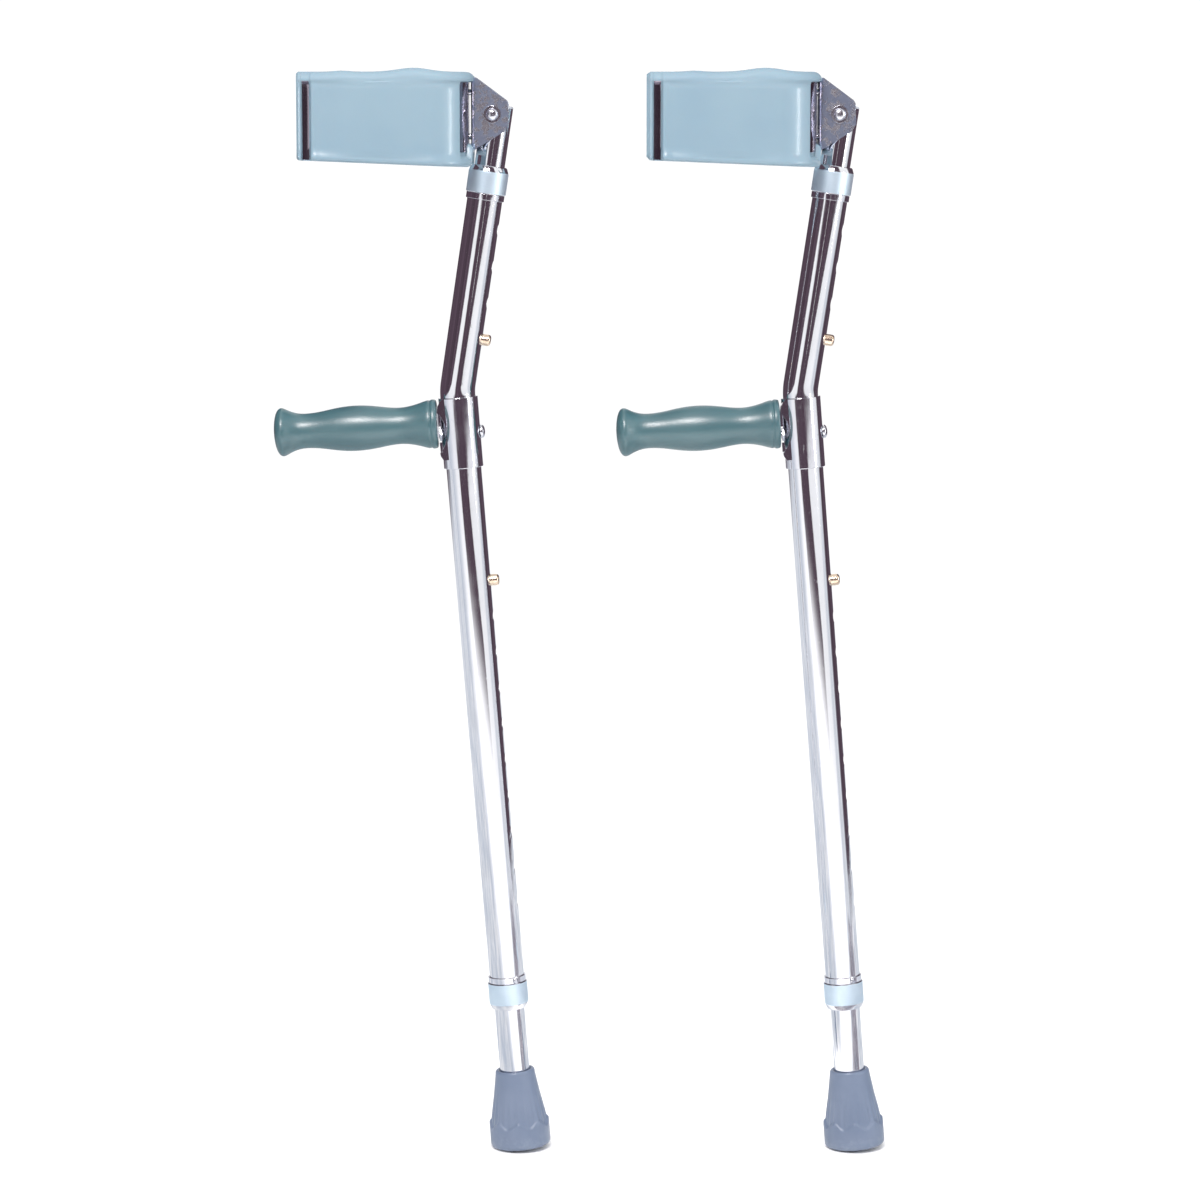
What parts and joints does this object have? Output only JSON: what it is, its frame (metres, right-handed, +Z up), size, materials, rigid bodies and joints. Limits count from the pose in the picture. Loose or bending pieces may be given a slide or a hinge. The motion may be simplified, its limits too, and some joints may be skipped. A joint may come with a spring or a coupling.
{
  "type": "pair of forearm crutches",
  "caption": "Pair of height-adjustable forearm crutches with open tilting cuffs, moulded hand grips, telescoping tubes locked by snap buttons, and rubber tips.",
  "frame": {"origin": "middle of the left crutch's tip face, on the ground", "axes": "+Z up, +X to the rear (the side of the button holes), +Y across; the lower tubes lean forwards by 4.55 degrees"},
  "size_m": [0.4277, 0.0948, 0.7555],
  "materials": {
    "polished_tube": "polished",
    "polished_bracket": "polished",
    "satin_collar": "satin",
    "plain_steel": "plain",
    "zinc_plate": "zinc plated",
    "brass": "polished",
    "nylon": "natural",
    "grip_vinyl": "moulded, satin",
    "cuff_vinyl": "glossy vinyl coating",
    "tip_rubber": "moulded rubber"
  },
  "bodies": {
    "left_frame": {"left_outer_tube": "polished_tube", "left_handle_bracket": "polished_bracket", "left_handle_core": "plain_steel", "left_hand_grip": "grip_vinyl", "left_bracket_bolt": "polished_bracket", "left_bracket_nut": "polished_bracket", "left_lower_collar": "satin_collar", "left_lower_collar_bush": "nylon", "left_lower_clamp_ring": "polished_tube", "left_lower_clamp_screw": "polished_bracket", "left_upper_collar": "satin_collar", "left_upper_collar_bush": "nylon", "left_upper_clamp_ring": "polished_tube", "left_upper_clamp_screw": "polished_bracket"},
    "left_forearm": {"left_forearm_tube": "polished_tube", "left_forearm_tube_cap": "polished_bracket", "left_forearm_button_spring": "plain_steel"},
    "left_forearm_lock": {"left_forearm_button": "brass"},
    "left_cuff": {"left_cuff_cover": "cuff_vinyl", "left_cuff_band": "plain_steel", "left_cuff_bracket": "zinc_plate", "left_cuff_rivets": "zinc_plate", "left_pivot_bolt": "polished_bracket", "left_pivot_nut": "zinc_plate", "left_pivot_washers": "zinc_plate"},
    "left_leg": {"left_leg_tube": "polished_tube", "left_rubber_tip": "tip_rubber", "left_tip_washer": "plain_steel", "left_leg_button_spring": "plain_steel"},
    "left_leg_lock": {"left_leg_button": "brass"},
    "right_frame": {"right_outer_tube": "polished_tube", "right_handle_bracket": "polished_bracket", "right_handle_core": "plain_steel", "right_hand_grip": "grip_vinyl", "right_bracket_bolt": "polished_bracket", "right_bracket_nut": "polished_bracket", "right_lower_collar": "satin_collar", "right_lower_collar_bush": "nylon", "right_lower_clamp_ring": "polished_tube", "right_lower_clamp_screw": "polished_bracket", "right_upper_collar": "satin_collar", "right_upper_collar_bush": "nylon", "right_upper_clamp_ring": "polished_tube", "right_upper_clamp_screw": "polished_bracket"},
    "right_forearm": {"right_forearm_tube": "polished_tube", "right_forearm_tube_cap": "polished_bracket", "right_forearm_button_spring": "plain_steel"},
    "right_forearm_lock": {"right_forearm_button": "brass"},
    "right_cuff": {"right_cuff_cover": "cuff_vinyl", "right_cuff_band": "plain_steel", "right_cuff_bracket": "zinc_plate", "right_cuff_rivets": "zinc_plate", "right_pivot_bolt": "polished_bracket", "right_pivot_nut": "zinc_plate", "right_pivot_washers": "zinc_plate"},
    "right_leg": {"right_leg_tube": "polished_tube", "right_rubber_tip": "tip_rubber", "right_tip_washer": "plain_steel", "right_leg_button_spring": "plain_steel"},
    "right_leg_lock": {"right_leg_button": "brass"}
  },
  "joints": [
    {"name": "left_forearm_slide", "type": "slide", "parent": "left_frame", "child": "left_forearm", "axis": [0.1469, 0, 0.9891], "range_m": [0, 0.0762], "deforming": ["left_forearm_button", "left_forearm_button_spring"]},
    {"name": "left_leg_slide", "type": "slide", "parent": "left_frame", "child": "left_leg", "axis": [0.0793, 0, -0.9968], "range_m": [0, 0.2286], "deforming": ["left_leg_button", "left_leg_button_spring"]},
    {"name": "left_cuff_tilt", "type": "hinge", "parent": "left_forearm", "child": "left_cuff", "pos_m": [-0.01756, 0, 0.72517], "axis": [0, 1, 0], "range_deg": [-2, 20]},
    {"name": "left_forearm_button_press", "type": "slide", "parent": "left_forearm", "child": "left_forearm_lock", "axis": [-0.9891, 0, 0.1469], "range_m": [0, 0.0074], "stiffness_N_per_m": 900, "springref_m": -0.002},
    {"name": "left_leg_button_press", "type": "slide", "parent": "left_leg", "child": "left_leg_lock", "axis": [-0.9968, 0, -0.0793], "range_m": [0, 0.0074], "stiffness_N_per_m": 900, "springref_m": -0.002},
    {"name": "right_crutch_apart", "type": "slide", "parent": "left_frame", "child": "right_frame", "axis": [1, 0, 0], "range_m": [0, 0.3]},
    {"name": "right_forearm_slide", "type": "slide", "parent": "right_frame", "child": "right_forearm", "axis": [0.1469, 0, 0.9891], "range_m": [0, 0.0762], "deforming": ["right_forearm_button", "right_forearm_button_spring"]},
    {"name": "right_leg_slide", "type": "slide", "parent": "right_frame", "child": "right_leg", "axis": [0.0793, 0, -0.9968], "range_m": [0, 0.2286], "deforming": ["right_leg_button", "right_leg_button_spring"]},
    {"name": "right_cuff_tilt", "type": "hinge", "parent": "right_forearm", "child": "right_cuff", "pos_m": [0.21944, 0, 0.72517], "axis": [0, 1, 0], "range_deg": [-2, 20]},
    {"name": "right_forearm_button_press", "type": "slide", "parent": "right_forearm", "child": "right_forearm_lock", "axis": [-0.9891, 0, 0.1469], "range_m": [0, 0.0074], "stiffness_N_per_m": 900, "springref_m": -0.002},
    {"name": "right_leg_button_press", "type": "slide", "parent": "right_leg", "child": "right_leg_lock", "axis": [-0.9968, 0, -0.0793], "range_m": [0, 0.0074], "stiffness_N_per_m": 900, "springref_m": -0.002}
  ]
}
